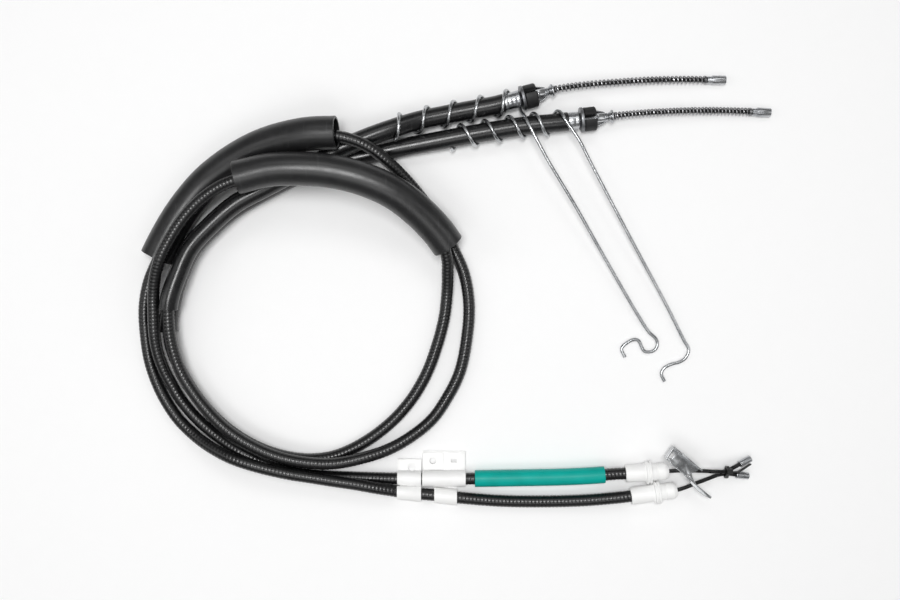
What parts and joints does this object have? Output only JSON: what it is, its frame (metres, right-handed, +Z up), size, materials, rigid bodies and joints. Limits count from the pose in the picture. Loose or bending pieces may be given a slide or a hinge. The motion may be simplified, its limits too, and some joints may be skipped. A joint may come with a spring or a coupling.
{
  "type": "parking brake cable",
  "caption": "Twin sheathed parking brake cables laid in a loop, with wheel end fittings, return and hook springs, protective sleeves, mounting clips and lever end nipples.",
  "frame": {"origin": "middle of the bounding box in x and y, on the plane that the set lies on (z = 0)", "axes": "+X towards the cable ends, along the longest extent; +Y across the loop towards the wheel ends; +Z up from the surface, the shortest extent"},
  "size_m": [0.5335, 0.3643, 0.0597],
  "materials": {
    "black_plastic": "satin black plastic, finely ribbed on the conduits",
    "black_sleeve": "loose satin black sleeve",
    "black_rubber": "matt black rubber",
    "black_coat": "black coating on the wire",
    "teal": "satin teal plastic",
    "white_plastic": "satin white plastic",
    "zinc": "bright zinc plate",
    "spring_steel": "bare spring steel"
  },
  "bodies": {
    "root": {"inner_wire_a": "black_coat", "conduit_a": "black_plastic", "wheel_tube_a": "black_plastic", "wheel_nipple_a": "zinc", "return_spring_a": "spring_steel", "spring_seat_a": "zinc", "wheel_fitting_a": "zinc", "collar_a": "black_rubber", "washer_a": "zinc", "hook_spring_a": "zinc", "loose_sleeve_a": "black_sleeve", "lever_fitting_a": "white_plastic", "lever_nipple_a": "zinc", "inner_wire_b": "black_coat", "conduit_b": "black_plastic", "wheel_tube_b": "black_plastic", "wheel_nipple_b": "zinc", "return_spring_b": "spring_steel", "spring_seat_b": "zinc", "wheel_fitting_b": "zinc", "collar_b": "black_rubber", "washer_b": "zinc", "hook_spring_b": "zinc", "loose_sleeve_b": "black_sleeve", "lever_fitting_b": "white_plastic", "lever_nipple_b": "zinc", "colour_sleeve_b": "teal", "twin_clip": "white_plastic", "guide_clip": "white_plastic", "steel_lever": "zinc", "cable_tie": "black_plastic"}
  },
  "joints": []
}
